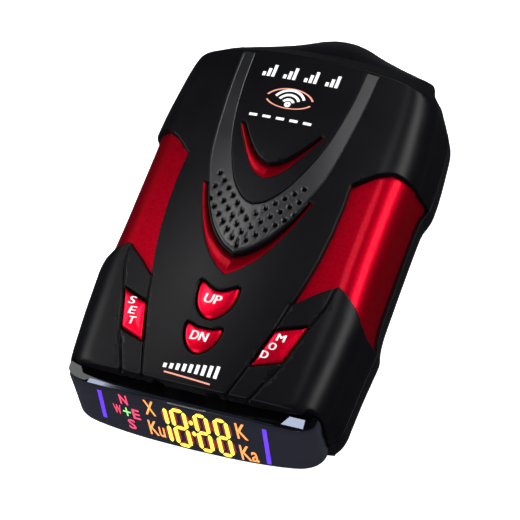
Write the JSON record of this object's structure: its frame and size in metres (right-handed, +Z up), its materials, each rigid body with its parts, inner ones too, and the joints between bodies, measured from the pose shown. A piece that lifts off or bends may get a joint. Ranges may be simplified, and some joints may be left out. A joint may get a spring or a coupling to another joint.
{
  "type": "dashboard radar detector",
  "caption": "Low rounded dashboard radar detector with a sloping front display, red side trims, a V-shaped speaker grille and push keys.",
  "frame": {"origin": "on the surface the feet rest on, under the middle of the object's box", "axes": "+Z up, +Y toward the horn and rear window, display facing -Y, +X to the right of someone reading the display"},
  "size_m": [0.0794, 0.1284, 0.0315],
  "materials": {
    "case_black": "fine moulded texture, satin black",
    "grille_black": "satin black moulded plate",
    "trim_red": "metallic red lacquer over moulded plastic",
    "accent_red": "gloss metallic red",
    "key_red": "gloss metallic red with white print",
    "head_black": "gloss black",
    "display_acrylic": "smoked acrylic, polished",
    "display_glass": "dark display glass",
    "rear_acrylic": "smoked infrared window, polished",
    "laser_eye": "dark red optical plastic",
    "sensor_black": "matte black",
    "jack_black": "moulded black socket",
    "switch_black": "moulded switch body",
    "board_green": "solder-masked board",
    "screw_steel": "zinc plated",
    "speaker_steel": "pressed and plated",
    "horn_casting": "as-cast",
    "foot_rubber": "matte rubber",
    "cone_paper": "treated paper cone",
    "patch_ceramic": "fired ceramic patch"
  },
  "bodies": {
    "housing": {"accent_lower": "accent_red", "accent_upper": "accent_red", "board_screw_front_left": "screw_steel", "board_screw_front_right": "screw_steel", "board_screw_rear_left": "screw_steel", "board_screw_rear_right": "screw_steel", "bottom_case": "case_black", "case_screw_front_left": "screw_steel", "case_screw_front_right": "screw_steel", "case_screw_rear_left": "screw_steel", "case_screw_rear_right": "screw_steel", "display_board": "board_green", "display_housing": "head_black", "display_lens": "display_acrylic", "display_module": "display_glass", "foot_front_left": "foot_rubber", "foot_front_right": "foot_rubber", "foot_rear_left": "foot_rubber", "foot_rear_right": "foot_rubber", "gps_antenna": "patch_ceramic", "horn_antenna": "horn_casting", "key_board": "board_green", "key_board_screw_left": "screw_steel", "key_board_screw_right": "screw_steel", "laser_lens": "laser_eye", "laser_sensor": "sensor_black", "main_board": "board_green", "power_jack": "jack_black", "rear_lens": "rear_acrylic", "side_trim_left": "trim_red", "side_trim_right": "trim_red", "speaker_cone": "cone_paper", "speaker_frame": "speaker_steel", "speaker_grille": "grille_black", "switch_down": "switch_black", "switch_mode": "switch_black", "switch_set": "switch_black", "switch_up": "switch_black", "top_case": "case_black"},
    "key_up": {"button_up": "key_red"},
    "key_down": {"button_down": "key_red"},
    "key_set": {"button_set": "key_red"},
    "key_mode": {"button_mode": "key_red"}
  },
  "joints": [
    {"name": "key_up_press", "type": "slide", "parent": "housing", "child": "key_up", "axis": [0, 0, -1], "range_m": [0, 0.0005], "stiffness_N_per_m": 900, "springref_m": -0.0003},
    {"name": "key_down_press", "type": "slide", "parent": "housing", "child": "key_down", "axis": [0, 0, -1], "range_m": [0, 0.0005], "stiffness_N_per_m": 900, "springref_m": -0.0003},
    {"name": "key_set_press", "type": "slide", "parent": "housing", "child": "key_set", "axis": [0, 0, -1], "range_m": [0, 0.0005], "stiffness_N_per_m": 900, "springref_m": -0.0003},
    {"name": "key_mode_press", "type": "slide", "parent": "housing", "child": "key_mode", "axis": [0, 0, -1], "range_m": [0, 0.0005], "stiffness_N_per_m": 900, "springref_m": -0.0003}
  ]
}
